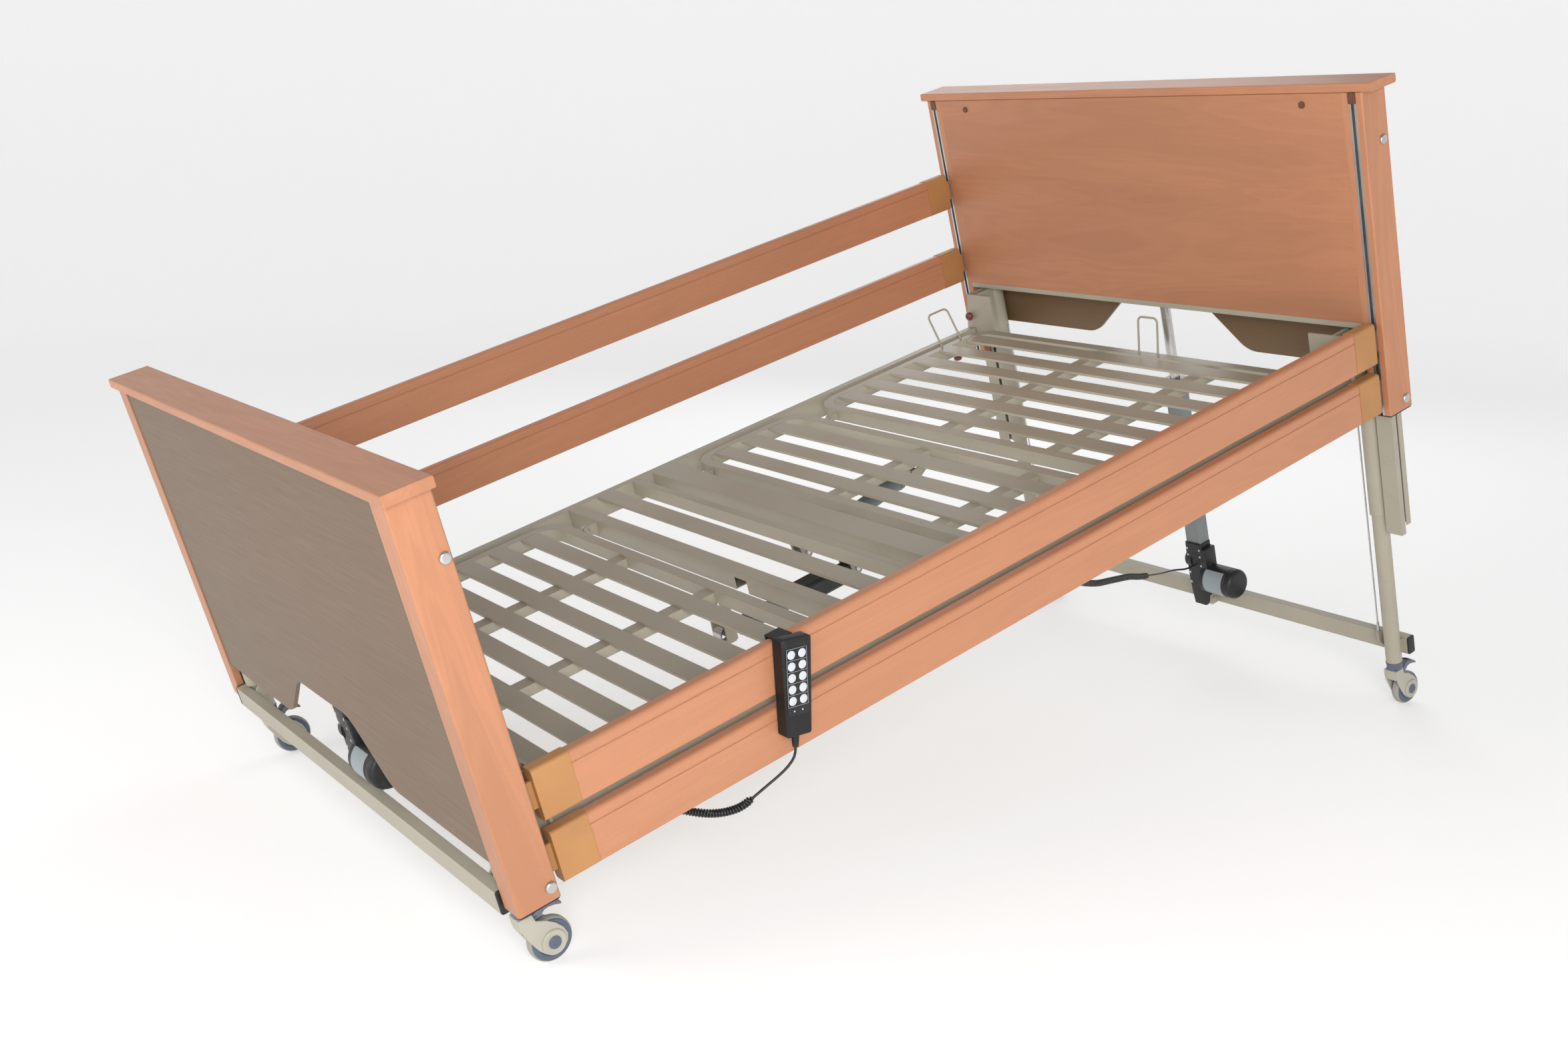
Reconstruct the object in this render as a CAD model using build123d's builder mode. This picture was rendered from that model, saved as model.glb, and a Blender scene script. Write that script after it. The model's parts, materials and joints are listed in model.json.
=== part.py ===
from build123d import *
from math import atan2, cos, degrees, pi, radians, sin, sqrt, tan
import os

os.makedirs("parts", exist_ok=True)

# Adjustable hospital bed, in millimetres. Every piece is drawn in the bed's own level
# frame: +X to the patient's right, -Y to the head end, +Y to the foot end, and Z up from
# the floor with both lifts down. The whole bed is then tipped head-down, because the foot
# lift stands at its full height and the head lift at its lowest.

# lifts and legs
lift_travel = 590.0
stage_travel = lift_travel / 2
leg_x = 565.0
leg_y = 1048.5
lift_x = 25.0
motor_radius = 36.5

# end panels: (from, to) distances from the middle of the bed
board_half = 666.5
board_y = (1010.0, 1090.0)
board_thickness = 18.0
board_round = 3.0
panel_top = 816.0
panel_x = 598.0
post_x = (598.0, 646.0)
post_y = (1010.0, 1083.0)
post_bottom = 145.0
inner_sheet_y = (1010.0, 1022.0)
outer_sheet_y = (1073.0, 1081.0)
sheet_bottom = 343.0

# mattress base
deck_top = 237.0
side_tube_x = (566.0, 588.0)
side_tube_height = 50.0
side_tube_half_length = 966.0
section_half = 543.0
section_height = 28.0
section_tube = 24.0
corner_radius = 70.0
slat_width = 42.0
slat_thickness = 6.0

# side rails
rail_x = 622.5
rail_thickness = 27.0
rail_height = 86.0
rail_half_length = 995.0
cap_length = 65.0
upper_rail_low = 264.0
lower_rail_low = 156.0
upper_rail_travel = 281.0
lower_rail_travel = 196.0

# pivots along X, as (y, z)
backrest_pivot = (-307.0, 222.0)
thigh_pivot = (22.0, 222.0)
calf_pivot = (378.0, 222.0)
actuator_rear = (-24.0, 138.0)
backrest_pin = (-344.0, 134.0)
thigh_pin = (290.0, 188.0)
backrest_actuator_x = 116.0
thigh_actuator_x = -52.0
pin_radius = 5.0

# castors
wheel_radius = 37.5
castor_trail = 28.0
axle_radius = 4.0
stem_radius = 5.5
stem_top = 132.0

# cords
lead_radius = 2.75
motor_lead_radius = 3.0
curl_radius = 7.5

# clearances
running = 0.05
gap = 0.1

# The tipped bed stands on all four wheels, centred along Y.
tilt = atan2(lift_travel, 2 * leg_y)
head_wheel_y = -leg_y + castor_trail
foot_wheel_y = leg_y + castor_trail
raise_z = wheel_radius - head_wheel_y * sin(tilt) - wheel_radius * cos(tilt)
round_y = board_y[1] - board_round
round_z = panel_top + board_thickness - board_round
head_reach = -round_y * cos(tilt) - round_z * sin(tilt) - board_round
foot_reach = foot_wheel_y * cos(tilt) - (wheel_radius - lift_travel) * sin(tilt) + wheel_radius
shift_y = -(head_reach + foot_reach) / 2
tipped = Location((0, shift_y, raise_z)) * Rotation(degrees(tilt), 0, 0)
print("tilt", round(degrees(tilt), 4), "shift", round(shift_y, 3), "raise", round(raise_z, 3))


def finish(piece, label):
    """Tip a finished piece with the bed and write it."""
    piece.part = tipped * piece.part
    piece.part.label = label
    export_step(piece.part, f"parts/{label}.step")


def block(x, y, z, mode=Mode.ADD):
    """A box between two values on each axis."""
    centre = ((x[0] + x[1]) / 2, (y[0] + y[1]) / 2, (z[0] + z[1]) / 2)
    with Locations(centre):
        Box(abs(x[1] - x[0]), abs(y[1] - y[0]), abs(z[1] - z[0]), mode=mode)


def times(sign, span):
    """A span mirrored to the other side of the bed."""
    return (sign * span[0], sign * span[1])


def down(span, drop):
    """A span of heights moved down."""
    return (span[0] - drop, span[1] - drop)


def rod(start, end, radius, mode=Mode.ADD):
    """A round bar from one point to another."""
    along = Vector(*end) - Vector(*start)
    with BuildSketch(Plane(origin=start, z_dir=along)) as disc:
        Circle(radius)
    extrude(disc.sketch, amount=along.length, mode=mode)


def plate(plane, outline, thickness, mode=Mode.ADD):
    """A flat plate of any outline, half its thickness to each side of a plane."""
    with BuildSketch(plane) as face:
        with BuildLine():
            Polyline(*outline, close=True)
        make_face()
    extrude(face.sketch, amount=thickness / 2, both=True, mode=mode)


def upright_tube(x, y, z, outer, inner):
    """A round tube standing between two heights."""
    with BuildSketch(Plane.XY.offset(z[0])) as ring:
        with Locations((x, y)):
            Circle(outer)
            Circle(inner, mode=Mode.SUBTRACT)
    extrude(ring.sketch, amount=z[1] - z[0])


def box_tube(x, y, z, wall, axis):
    """A rectangular tube along X or Y."""
    block(x, y, z)
    bore_x = x if axis == "x" else (min(x) + wall, max(x) - wall)
    bore_y = y if axis == "y" else (min(y) + wall, max(y) - wall)
    block(bore_x, bore_y, (z[0] + wall, z[1] - wall), Mode.SUBTRACT)


corners = [(side, end) for end in (-1, 1) for side in (-1, 1)]

# ---------------------------------------------------------------- end panels

with BuildPart() as top_boards:
    for end in (-1, 1):
        span = (panel_top, panel_top + board_thickness)
        block((-board_half, board_half), times(end, board_y), span)
    fillet(top_boards.edges().filter_by(Axis.X), board_round)
finish(top_boards, "top_boards")

with BuildPart() as posts:
    for side, end in corners:
        height = (post_bottom, panel_top)
        block(times(side, post_x), times(end, post_y), height)
        block(times(side, (598, 632)), times(end, (1030, 1069)), height, Mode.SUBTRACT)
        block(times(side, (614, 631)), times(end, (1010, 1028)), height, Mode.SUBTRACT)
    outer_edges = posts.edges().filter_by(Axis.Z).filter_by(lambda e: abs(e.center().X) > 645)
    fillet(outer_edges, 4)
finish(posts, "posts")

lobe_low = 222.0
arch_top = 324.0
with BuildPart() as outer_sheets:
    for end in (-1, 1):
        middle = end * sum(outer_sheet_y) / 2
        outline = (
            (-panel_x, panel_top),
            (-panel_x, lobe_low),
            (-235, lobe_low),
            (-120, arch_top),
            (120, arch_top),
            (235, lobe_low),
            (panel_x, lobe_low),
            (panel_x, panel_top),
        )
        plate(Plane.XZ.offset(-middle), outline, outer_sheet_y[1] - outer_sheet_y[0])
    bends = outer_sheets.edges().filter_by(Axis.Y).filter_by(lambda e: abs(e.center().X) < 300)
    fillet(bends, 70)
finish(outer_sheets, "outer_sheets")

with BuildPart() as inner_sheets:
    for end in (-1, 1):
        block((-panel_x, panel_x), times(end, inner_sheet_y), (sheet_bottom, panel_top))
finish(inner_sheets, "inner_sheets")

with BuildPart() as guide_channels:
    for side, end in corners:
        height = (post_bottom, panel_top - 22)
        block(times(side, (614.1, 630.9)), times(end, (1010, 1027.9)), height)
        block(times(side, (616, 629)), times(end, (1012, 1026)), height, Mode.SUBTRACT)
        block(times(side, (619, 626)), times(end, (1009, 1013)), height, Mode.SUBTRACT)
finish(guide_channels, "guide_channels")

with BuildPart() as post_plugs:
    for side, end in corners:
        height = (panel_top - 21, panel_top - gap)
        block(times(side, (614.1, 630.9)), times(end, (1008, 1027.9)), height)
        rod((side * 504, end * 1010, 794), (side * 504, end * 1007, 794), 7)
finish(post_plugs, "post_plugs")

bolt_height = 5.0
with BuildPart() as post_bolts:
    for side, end in corners:
        along_y = -1022 if end < 0 else 1062
        for z in (711, 167):
            start = (side * post_x[1], along_y, z)
            rod(start, (side * (post_x[1] + bolt_height), along_y, z), 10)
    rims = post_bolts.edges().filter_by(GeomType.CIRCLE)
    fillet(rims.filter_by(lambda e: abs(e.center().X) > post_x[1] + 1), 4)
finish(post_bolts, "post_bolts")

with BuildPart() as sheet_edge_bars:
    for end in (-1, 1):
        block((-panel_x, panel_x), times(end, inner_sheet_y), (331, sheet_bottom))
finish(sheet_edge_bars, "sheet_edge_bars")

# Folded brackets that carry the base, welded to the fixed sleeves round the legs.
bracket_front = 968.0
with BuildPart() as corner_brackets:
    for side, end in corners:
        upright_tube(side * leg_x, end * leg_y, (176, 330), 24, 21.5)
        outline = ((492, 188), (604, 188), (604, 200), (577, 326), (492, 326))
        mirrored = [(side * x, z) for x, z in outline]
        plate(Plane.XZ.offset(-end * (bracket_front + 3)), mirrored, 6)
        for web in ((548, 554), (576, 582)):
            block(times(side, web), times(end, (bracket_front + 2, 1030)), (188, 326))
        block(times(side, (569, 585)), times(end, (930, bracket_front + 2)), (190, 234))
finish(corner_brackets, "corner_brackets")

with BuildPart() as clamp_screws:
    for side, end in corners:
        x = side * 571
        rod((x, end * bracket_front, 270), (x, end * 962, 270), 6)
        rod((x, end * 962, 270), (x, end * 950, 270), 11)
        x = side * sum(side_tube_x) / 2
        for y in (270, 900):
            rod((x, end * y, deck_top - side_tube_height), (x, end * y, 177), 6)
            rod((x, end * y, 177), (x, end * y, 164), 11)
finish(clamp_screws, "clamp_screws")

# ------------------------------------------------------------- mattress base

grommet = Vector(557, -846, 199)
grommet_run = Vector(10.2, -11.9, 12.75)
with BuildPart() as base_side_tubes:
    for side in (-1, 1):
        length = (-side_tube_half_length, side_tube_half_length)
        height = (deck_top - side_tube_height, deck_top)
        box_tube(times(side, side_tube_x), length, height, 2, "y")
    rod(tuple(grommet), tuple(grommet + grommet_run), 9)
finish(base_side_tubes, "base_side_tubes")

seat_members = (((-54, 6), 30), ((-110, -92), 30), ((-283, -253), 40))
lug_x = 442.0
with BuildPart() as base_cross_members:
    inside = (-side_tube_x[0], side_tube_x[0])
    for y, height in seat_members:
        box_tube(inside, y, (deck_top - height, deck_top), 2, "x")
    block(inside, (-204, -161), (deck_top - slat_thickness, deck_top))
    for side in (-1, 1):
        plane = Plane.YZ.offset(side * lug_x)
        head_edge, foot_edge = -283 - gap, 6 + gap
        plate(plane, ((head_edge, 205), (head_edge, 234), (-316, 230), (-316, 214)), 4)
        plate(plane, ((foot_edge, 209), (foot_edge, 234), (31, 230), (31, 214)), 4)
        for y, z in (backrest_pivot, thigh_pivot):
            rod((side * 438, y, z), (side * 446, y, z), pin_radius, Mode.SUBTRACT)
    # the back actuator's tube rises into this relief as the backrest goes up
    relief_x = (backrest_actuator_x - 22, backrest_actuator_x + 22)
    block(relief_x, (-284, -252), (196, 224), Mode.SUBTRACT)
    weld = 207 - gap
    hanger = ((-48, weld), (-20, weld), (-12, 132), (-18, 126), (-30, 126), (-36, 132))
    for x in (thigh_actuator_x, backrest_actuator_x):
        for offset in (-18, 18):
            plate(Plane.YZ.offset(x + offset), hanger, 4)
            start = (x + offset - 3, *actuator_rear)
            rod(start, (x + offset + 3, *actuator_rear), pin_radius, Mode.SUBTRACT)
finish(base_cross_members, "base_cross_members")

with BuildPart() as section_pivot_bolts:
    for side in (-1, 1):
        for y, z in (backrest_pivot, thigh_pivot):
            rod((side * 438, y, z), (side * 453, y, z), pin_radius - running)
            rod((side * 453, y, z), (side * 458, y, z), 8)
    for x in (thigh_actuator_x, backrest_actuator_x):
        rod((x - 24, *actuator_rear), (x + 24, *actuator_rear), pin_radius - running)
finish(section_pivot_bolts, "section_pivot_bolts")


def slat_reach(clear):
    """Half length of a slat whose edge stands this far inside the frame's end tube."""
    inner = section_half - section_tube
    inner_radius = corner_radius - section_tube
    into_corner = max(inner_radius - clear, 0)
    return inner - inner_radius + sqrt(inner_radius**2 - into_corner**2) - gap


def section(y, slats, bars):
    """A rounded tube frame in eight lengths, with slats across it and bars beneath them."""
    with BuildSketch(Plane.XY.offset(deck_top - section_height)) as ring:
        with Locations((0, (y[0] + y[1]) / 2)):
            length = y[1] - y[0]
            RectangleRounded(2 * section_half, length, corner_radius)
            bore = 2 * section_tube
            inner_radius = corner_radius - section_tube
            RectangleRounded(
                2 * section_half - bore, length - bore, inner_radius, mode=Mode.SUBTRACT
            )
    extrude(ring.sketch, amount=section_height)
    height = (deck_top - 40, deck_top + 10)
    straight_x = section_half - corner_radius
    for side in (-1, 1):
        wide = times(side, (section_half - 60, section_half + 10))
        for at in (y[0] + corner_radius, y[1] - corner_radius):
            block(wide, (at, at + gap), height, Mode.SUBTRACT)
        for at in y:
            cut = (side * straight_x, side * straight_x + gap)
            block(cut, (at - 30, at + 30), height, Mode.SUBTRACT)
    for centre in slats:
        edges = (centre - slat_width / 2, centre + slat_width / 2)
        clear = min(edges[0] - y[0], y[1] - edges[1]) - section_tube
        reach = slat_reach(clear)
        block((-reach, reach), edges, (deck_top - slat_thickness, deck_top))
    for x in bars:
        inner_y = (y[0] + section_tube + gap, y[1] - section_tube - gap)
        block((x - 17, x + 17), inner_y, (deck_top - 27, deck_top - slat_thickness - gap))


def pivot_lug(x, pivot, edge, bored):
    """A flat lug from a section's end tube to its pivot."""
    towards = 1 if edge > pivot[0] else -1
    root = edge - towards * gap
    with BuildSketch(Plane.YZ.offset(x)) as face:
        with Locations(((pivot[0] + root) / 2, pivot[1])):
            Rectangle(abs(root - pivot[0]), 16)
        with Locations(pivot):
            Circle(9)
            if bored:
                Circle(pin_radius, mode=Mode.SUBTRACT)
    extrude(face.sketch, amount=2, both=True)


with BuildPart() as backrest_section:
    section((-945, -331), [-410 - 80 * k for k in range(7)], (-211, backrest_actuator_x))
    for side in (-1, 1):
        pivot_lug(side * 449, backrest_pivot, -331, True)
    weld = deck_top - section_height - gap
    lever = ((-333, weld), (-353, weld), (-356, 126), (-350, 122), (-338, 122), (-332, 126))
    for offset in (-24, 24):
        plate(Plane.YZ.offset(backrest_actuator_x + offset), lever, 4)
    x = backrest_actuator_x
    rod((x - 26, *backrest_pin), (x + 26, *backrest_pin), pin_radius)
finish(backrest_section, "backrest_section")

with BuildPart() as thigh_section:
    section((37, 352), (112.5, 191, 273), (-36, 302))
    for side in (-1, 1):
        pivot_lug(side * 449, thigh_pivot, 37, True)
        pivot_lug(side * 442, calf_pivot, 352, True)
    lever = ((328, weld), (352, weld), (300, 176), (280, 176), (280, 198), (296, 200))
    for offset in (-18, 18):
        plate(Plane.YZ.offset(thigh_actuator_x + offset), lever, 4)
    x = thigh_actuator_x
    rod((x - 20, *thigh_pin), (x + 20, *thigh_pin), pin_radius)
finish(thigh_section, "thigh_section")

with BuildPart() as calf_section:
    section((404, 962), [488 + 83 * k for k in range(6)], (-92, 245))
    for side in (-1, 1):
        pivot_lug(side * 449, calf_pivot, 404, False)
        start = (side * 438, *calf_pivot)
        rod(start, (side * 451, *calf_pivot), pin_radius - running)
finish(calf_section, "calf_section")

# Wire loops that keep the mattress in place.
retainers = (
    ((-536, 824), (-536, 888), (-36, 0, 79)),
    ((536, 824), (536, 888), (36, 0, 79)),
    ((18, 952), (76, 952), (0, 13, 84)),
)
with BuildPart() as mattress_retainers:
    for first, second, rise in retainers:
        foot = Vector(*first, deck_top)
        other = Vector(*second, deck_top)
        with BuildLine() as wire:
            FilletPolyline(foot, foot + Vector(*rise), other + Vector(*rise), other, radius=12)
        with BuildSketch(Plane(origin=foot, z_dir=rise)):
            Circle(2.5)
        sweep(path=wire.line)
    block((-700, 700), (700, 1000), (deck_top - 20, deck_top), Mode.SUBTRACT)
finish(mattress_retainers, "mattress_retainers")

# --------------------------------------------------------------- side rails

rails = (
    ("rail_right_upper", 1, upper_rail_low),
    ("rail_right_lower", 1, lower_rail_low),
    ("rail_left_upper", -1, upper_rail_low + upper_rail_travel),
    ("rail_left_lower", -1, lower_rail_low + lower_rail_travel),
)
wood_half = rail_half_length - cap_length
for label, side, low in rails:
    x = side * rail_x
    half = rail_thickness / 2
    with BuildPart() as rail_board:
        block((x - half, x + half), (-wood_half, wood_half), (low, low + rail_height))
        top = rail_board.edges().filter_by(Axis.Y).group_by(Axis.Z)[-1]
        fillet(top, 8)
        fillet(rail_board.edges().filter_by(Axis.Y).group_by(Axis.Z)[0], 3)
        for face in (-1, 1):
            groove = (x + face * (half - 1.2), x + face * (half + 1))
            groove_z = low + rail_height - 20
            block(groove, (-1000, 1000), (groove_z, groove_z + 2.5), Mode.SUBTRACT)
    finish(rail_board, label)

    with BuildPart() as rail_caps:
        for end in (-1, 1):
            cap_y = times(end, (wood_half, rail_half_length))
            block((x - half - 1, x + half + 1), cap_y, (low - 1, low + rail_height + 1))
        fillet(rail_caps.edges().filter_by(Axis.Y), 6)
        tongue_z = (low + 20, low + rail_height - 20)
        for end in (-1, 1):
            block((x - 3, x + 3), times(end, (rail_half_length, 1014)), tongue_z)
            block((x - 6, x + 6), times(end, (1014, 1024)), tongue_z)
    finish(rail_caps, label + "_caps")

# --------------------------------------------------------------------- lifts

for end, label, mid_drop, leg_drop in (
    (-1, "head", 0.0, 0.0),
    (1, "foot", stage_travel, lift_travel),
):
    y0 = end * leg_y

    with BuildPart() as mid_stage:
        beam_z = down((745, 775), mid_drop)
        box_tube((-630, 630), times(end, (1031, 1067)), beam_z, 2, "x")
        for side in (-1, 1):
            upright_tube(side * leg_x, y0, down((189, 745), mid_drop), 21, 18.5)
            strip = down((153, 745), mid_drop)
            block(times(side, (590, 629)), times(end, (1033, 1035)), strip)
            block(times(side, (627, 629)), times(end, (1033, 1047)), strip)
            strip = down((171, 745), mid_drop)
            block(times(side, (600, 629)), times(end, (1064, 1066)), strip)
            block(times(side, (627, 629)), times(end, (1052, 1066)), strip)
            start = (side * 531, y0, beam_z[0] - 1)
            rod(start, (side * 531, y0, beam_z[1] + 1), 6, Mode.SUBTRACT)
    finish(mid_stage, f"{label}_mid_stage")

    with BuildPart() as lift_rod:
        rod((lift_x, y0, 360 - mid_drop), (lift_x, y0, 741 - mid_drop), 12)
        block((lift_x - 22, lift_x + 22), (y0 - 16, y0 + 16), down((741, 745), mid_drop))
    finish(lift_rod, f"{label}_lift_rod")

    with BuildPart() as leg_frame:
        beam = times(end, (1068, 1088))
        box_tube((-590, 590), beam, down((132, 172), leg_drop), 2.5, "x")
        for side in (-1, 1):
            x = side * leg_x
            upright_tube(x, y0, down((118, 674), leg_drop), 17.5, 15)
            rod((x, y0, 118 - leg_drop), (x, y0, stem_top - leg_drop), 15)
            start = (x, y0, 118 - leg_drop)
            rod(start, (x, y0, stem_top - leg_drop), stem_radius, Mode.SUBTRACT)
            block((x - 12, x + 12), times(end, (1062, 1069)), down((136, 168), leg_drop))
            hook = ((1068, 136), (1068, 170), (1054, 186), (1042, 186), (1046, 158))
            outline = [(end * y, z - leg_drop) for y, z in hook]
            plate(Plane.YZ.offset(side * 531), outline, 5)
        ears = ((1068, 134), (1068, 170), (1040, 160), (1036, 140), (1044, 134))
        outline = [(end * y, z - leg_drop) for y, z in ears]
        for offset in (-22, 22):
            plate(Plane.YZ.offset(lift_x + offset), outline, 4)
        pin_z = 148 - leg_drop
        rod((lift_x - 28, y0, pin_z), (lift_x + 28, y0, pin_z), 6)
    finish(leg_frame, f"{label}_leg_frame")

    with BuildPart() as lift_motor:
        block((lift_x - 18, lift_x + 18), (y0 - 14, y0 + 14), down((136, 190), leg_drop))
        block((lift_x - 24, lift_x + 24), (y0 - 22, y0 + 17), down((180, 299), leg_drop))
        fillet(lift_motor.edges().filter_by(Axis.Z), 5)
        block((lift_x + 20, lift_x + 37), (y0 - 22, y0 + 17), down((240, 292), leg_drop))
        motor_y = y0 - 2
        motor_z = 209 - leg_drop
        rod((lift_x + 10, motor_y, motor_z), (lift_x + 115, motor_y, motor_z), motor_radius)
        fillet(lift_motor.edges().group_by(Axis.X)[-1], 10)
        bulge_z = 254 - leg_drop
        rod((lift_x - 33, motor_y, bulge_z), (lift_x - 10, motor_y, bulge_z), 23)
        start = (lift_x - 19, y0, 148 - leg_drop)
        rod(start, (lift_x + 19, y0, 148 - leg_drop), 6 + running, Mode.SUBTRACT)
    finish(lift_motor, f"{label}_lift_motor")

    with BuildPart() as lift_profile:
        block((lift_x - 23, lift_x + 23), (y0 - 17, y0 + 17), down((299, 723), leg_drop))
        fillet(lift_profile.edges().filter_by(Axis.Z), 4)
        block((lift_x - 24, lift_x + 24), (y0 - 17.5, y0 + 17.5), down((723, 731), leg_drop))
        start = (lift_x, y0, 320 - leg_drop)
        rod(start, (lift_x, y0, 732 - leg_drop), 12 + running, Mode.SUBTRACT)
    finish(lift_profile, f"{label}_lift_profile")

    with BuildPart() as sync_cables:
        for side in (-1, 1):
            x = side * 531
            rod((x, y0, 186 - leg_drop), (x, y0, 206 - leg_drop), 3.5)
            rod((x, y0, 206 - leg_drop), (x, y0, 811 - leg_drop), 2)
    finish(sync_cables, f"{label}_sync_cables")

    for side, hand in ((1, "right"), (-1, "left")):
        x0 = side * leg_x
        axle = (y0 + castor_trail, wheel_radius - leg_drop)
        with BuildPart() as fork:
            rod((x0, y0, 100 - leg_drop), (x0, y0, 117.5 - leg_drop), 19)
            rod((x0, y0, 78 - leg_drop), (x0, y0, 100 - leg_drop), 17)
            cheek = (
                (y0 - 14, 100 - leg_drop),
                (y0 - 14, 76 - leg_drop),
                (axle[0] - 24, axle[1] - 8),
                (axle[0] + 12, axle[1] - 22),
                (axle[0] + 25, axle[1] + 6),
                (y0 + 24, 92 - leg_drop),
                (y0 + 18, 100 - leg_drop),
            )
            hinge = (y0 + 13, 90 - leg_drop)
            block((x0 - 18, x0 + 18), (y0 + 8, y0 + 30), down((77, 101), leg_drop), Mode.SUBTRACT)
            for outward in (-1, 1):
                start = (x0 + outward * 15, *axle)
                plate(Plane.YZ.offset(start[0]), cheek, 4)
                rod(start, (x0 + outward * 19, *axle), 27)
            rod((x0 - 14, *axle), (x0 + 14, *axle), axle_radius - running)
            rod((x0 - 14, *hinge), (x0 + 14, *hinge), 2.5 - running)
            start = (x0, y0, 117 - leg_drop)
            rod(start, (x0, y0, stem_top - 1 - leg_drop), stem_radius - running)
        finish(fork, f"castor_{label}_{hand}_fork")

        with BuildPart() as wheel:
            rod((x0 - 11, *axle), (x0 + 11, *axle), wheel_radius)
            fillet(wheel.edges().filter_by(GeomType.CIRCLE), 4)
            rod((x0 - 12, *axle), (x0 + 12, *axle), axle_radius, Mode.SUBTRACT)
        finish(wheel, f"castor_{label}_{hand}_wheel")

        with BuildPart() as pedal:
            outline = (
                (y0 + 11, 85 - leg_drop),
                (y0 + 9, 95 - leg_drop),
                (y0 + 21, 97 - leg_drop),
                (y0 + 26, 104 - leg_drop),
                (y0 + 36, 103 - leg_drop),
                (y0 + 58, 94 - leg_drop),
                (y0 + 60, 88 - leg_drop),
                (y0 + 34, 93 - leg_drop),
                (y0 + 22, 85 - leg_drop),
            )
            plate(Plane.YZ.offset(x0), outline, 24)
            rod((x0 - 13, *hinge), (x0 + 13, *hinge), 2.5, Mode.SUBTRACT)
        finish(pedal, f"castor_{label}_{hand}_pedal")

# ------------------------------------------------- actuators of the sections

gearbox_end = 150.0


def actuator_plane(x, front):
    """Plane at the rear pin of a section actuator, facing its front pin."""
    along = Vector(0, front[0] - actuator_rear[0], front[1] - actuator_rear[1])
    return Plane(origin=(x, *actuator_rear), x_dir=(1, 0, 0), z_dir=along), along.length


def actuator_body(x, front):
    """Rear eye, gearbox and tube, up to a ring round the rod's way out."""
    frame, length = actuator_plane(x, front)
    mouth = length - 34
    with BuildSketch(frame.offset(-9)) as eye:
        Rectangle(30, 22)
    extrude(eye.sketch, amount=50)
    with BuildSketch(frame.offset(38)) as gearbox:
        RectangleRounded(50, 40, 8)
    extrude(gearbox.sketch, amount=gearbox_end - 38)
    with BuildSketch(frame.offset(gearbox_end)) as tube:
        Circle(18)
    extrude(tube.sketch, amount=mouth - gearbox_end)
    with BuildSketch(frame.offset(mouth - 10)) as ring:
        Circle(19.5)
    extrude(ring.sketch, amount=10)
    with BuildSketch(frame.offset(gearbox_end - 60)) as bore:
        Circle(9 + running)
    extrude(bore.sketch, amount=mouth - gearbox_end + 62, mode=Mode.SUBTRACT)
    start = (x - 16, *actuator_rear)
    rod(start, (x + 16, *actuator_rear), pin_radius, Mode.SUBTRACT)


def actuator_rod(x, front, eye_radius, hole_radius):
    """Bright rod with an eye round the pin that it drives."""
    frame, length = actuator_plane(x, front)
    start = gearbox_end - 55
    with BuildSketch(frame.offset(start)) as bar:
        Circle(9)
    extrude(bar.sketch, amount=length - eye_radius + 2 - start)
    rod((x - 13, *front), (x + 13, *front), eye_radius)
    rod((x - 14, *front), (x + 14, *front), hole_radius, Mode.SUBTRACT)


with BuildPart() as back_actuator_body:
    actuator_body(backrest_actuator_x, backrest_pin)
finish(back_actuator_body, "back_actuator_body")

with BuildPart() as back_actuator_rod:
    actuator_rod(backrest_actuator_x, backrest_pin, 19, 15)
finish(back_actuator_rod, "back_actuator_rod")

with BuildPart() as leg_actuator_body:
    actuator_body(thigh_actuator_x, thigh_pin)
finish(leg_actuator_body, "leg_actuator_body")

with BuildPart() as leg_actuator_rod:
    actuator_rod(thigh_actuator_x, thigh_pin, 12, 8)
finish(leg_actuator_rod, "leg_actuator_rod")

# ------------------------------------------------------ handset and controls

hand_top = Vector(652, -520, 354)
hand_down = Vector(0, -36, -160).normalized()
hand_length = 164.0
hand_depth = 24.0
# local x runs across the handset, local y up it, local z out of its face
hand_face = Plane(origin=hand_top, x_dir=hand_down.cross(Vector(-1, 0, 0)), z_dir=(1, 0, 0))
relief_length = 22.0
cord_start = hand_top + hand_down * (hand_length + relief_length)

with BuildPart() as handset:
    outline = ((-29, 0), (29, 0), (27, -70), (24, -hand_length), (-24, -hand_length), (-27, -70))
    plate(hand_face, outline, hand_depth)
    fillet(handset.edges().filter_by(Axis.X), 4)
    rod(tuple(hand_top + hand_down * (hand_length - 2)), tuple(cord_start), 5)
    block((605.5, 608.5), (-541, -511), (320, 354))
    block((605.5, 641), (-541, -511), (351, 354))
    block((636.6, 641), (-541, -511), (318, 354))
finish(handset, "handset")

key_rows = [-28 - 19.3 * row for row in range(5)]
film = 0.6
with BuildPart() as handset_keypad:
    with BuildSketch(hand_face.offset(hand_depth / 2)):
        with Locations((0, -72)):
            Rectangle(42, 112)
    extrude(amount=film)
    with BuildSketch(hand_face.offset(hand_depth / 2 + film)):
        with Locations([(x, y) for y in key_rows for x in (-10.5, 10.5)]):
            Circle(6.25)
    extrude(amount=film)
finish(handset_keypad, "handset_keypad")

with BuildPart() as control_box:
    block((425, 515), (-140, -20), (112, 180))
    fillet(control_box.edges().filter_by(Axis.Z), 8)
    for y in (-101, -30):
        block((460, 480), (y - 6, y + 6), (180, 207))
finish(control_box, "control_box")


# --------------------------------------------------------------------- cords

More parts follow.
